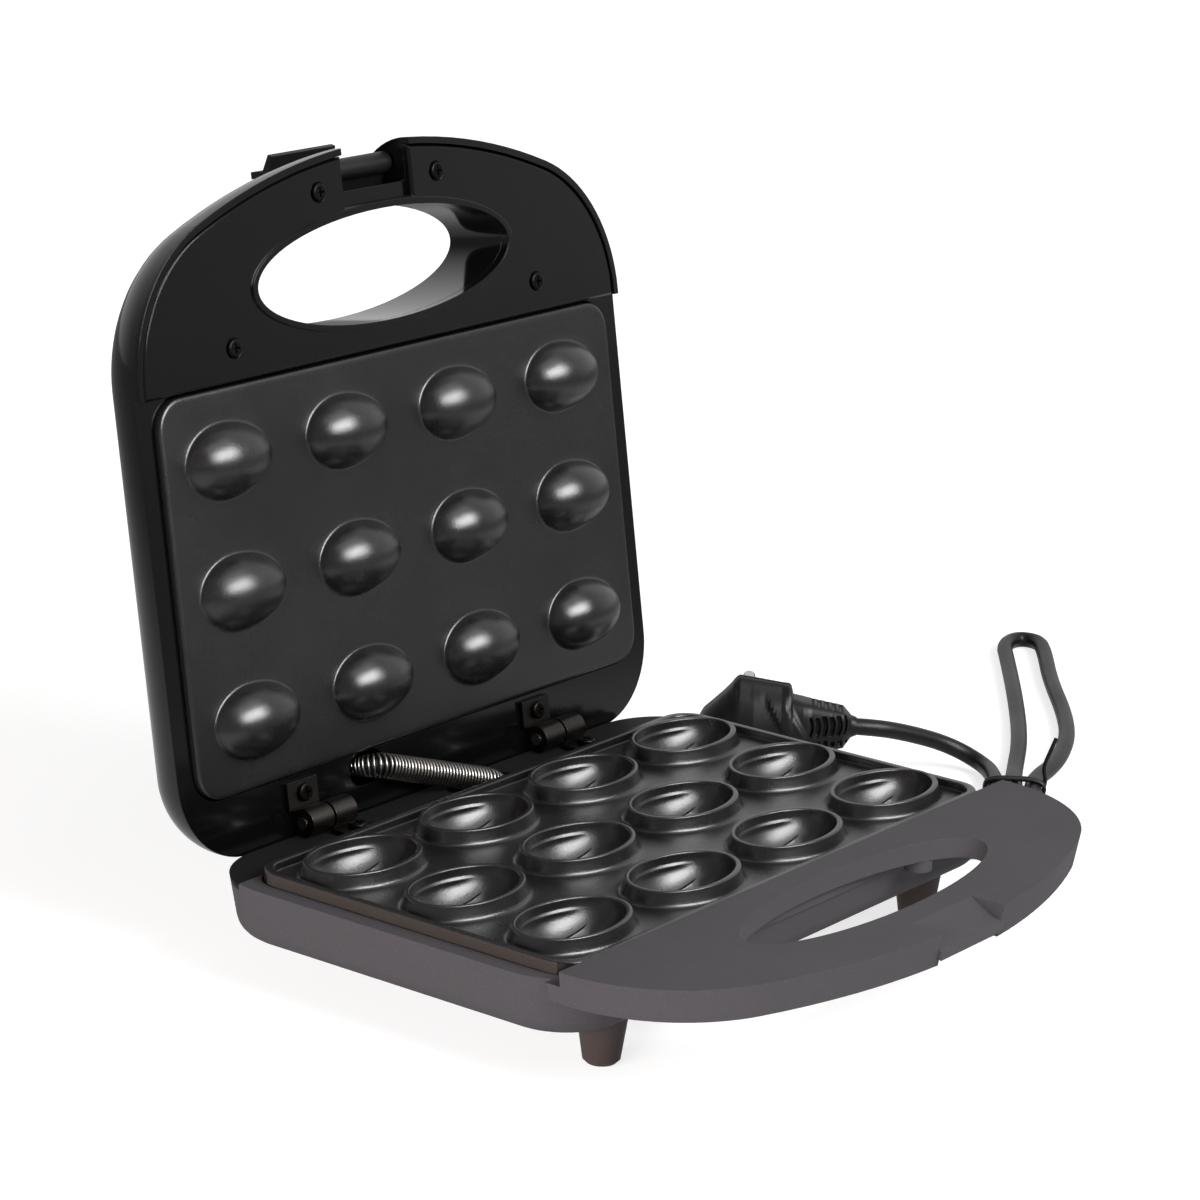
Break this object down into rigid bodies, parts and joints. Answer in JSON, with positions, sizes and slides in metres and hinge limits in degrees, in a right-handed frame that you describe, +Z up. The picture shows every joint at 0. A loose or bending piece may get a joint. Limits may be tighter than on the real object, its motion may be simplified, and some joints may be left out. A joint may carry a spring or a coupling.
{
  "type": "nut_cookie_maker",
  "caption": "Electric maker of nut-shaped filled cookies: hinged lid swung open, two hot plates with cups and bumps, oval grip holes, flip latch, feet and a tied mains cord with an angled plug",
  "frame": {"origin": "On the table, under the middle of the product's bounding box, without the mains cord, its tie and its plug", "axes": "+Z up, -Y towards the handle and the latch, +Y towards the hinge and the opened lid, +X to the right when facing the handle from the front"},
  "size_m": [0.4954, 0.2822, 0.2457],
  "materials": {
    "housing_base": "satin dark grey moulding",
    "housing_lid": "polished black moulding",
    "nonstick": "satin non-stick coating on cast aluminium",
    "steel": "zinc-plated steel",
    "hinge_steel": "dark stamped steel",
    "aluminium": "thin rolled sheet",
    "black_plastic": "satin black moulding",
    "rubber": "matte dark rubber",
    "cord_black": "satin black cord sheath",
    "chrome": "nickel-plated contacts",
    "red_lens": "clear red lens",
    "green_lens": "clear green lens"
  },
  "bodies": {
    "base": {"base_shell": "housing_base", "lower_plate": "nonstick", "lower_heater": "steel", "lower_heater_clamps": "steel", "lower_reflector": "aluminium", "lower_plate_screws": "steel", "thermostat": "steel", "thermal_fuse": "steel", "terminal_block": "black_plastic", "base_hinge_leaves": "hinge_steel", "base_hinge_screws": "steel", "hinge_pins": "steel", "feet": "rubber", "cord_gland": "rubber", "cord_clamp": "black_plastic", "conduit_spring": "steel", "lead_wires": "cord_black", "power_cord": "cord_black", "cord_tie": "cord_black", "plug_body": "black_plastic", "plug_pins": "chrome", "plug_earth_contacts": "chrome"},
    "lid": {"lid_shell": "housing_lid", "lid_handle_cover": "housing_lid", "lid_cover_screws": "steel", "upper_plate": "nonstick", "upper_heater": "steel", "upper_heater_clamps": "steel", "upper_reflector": "aluminium", "upper_plate_screws": "steel", "lid_hinge_leaves": "hinge_steel", "lid_hinge_screws": "steel", "latch_pin": "steel", "lamp_holders": "black_plastic", "red_lamp_lens": "red_lens", "green_lamp_lens": "green_lens"},
    "latch": {"latch": "black_plastic"}
  },
  "joints": [
    {"name": "lid_hinge", "type": "hinge", "parent": "base", "child": "lid", "pos_m": [0, 0.06755, 0.0398], "axis": [1, 0, 0], "range_deg": [0, 98.7], "deforming": ["conduit_spring", "lead_wires"]},
    {"name": "latch_hinge", "type": "hinge", "parent": "lid", "child": "latch", "pos_m": [0, 0.11087, 0.23631], "axis": [1, 0, 0], "range_deg": [0, 158]}
  ]
}
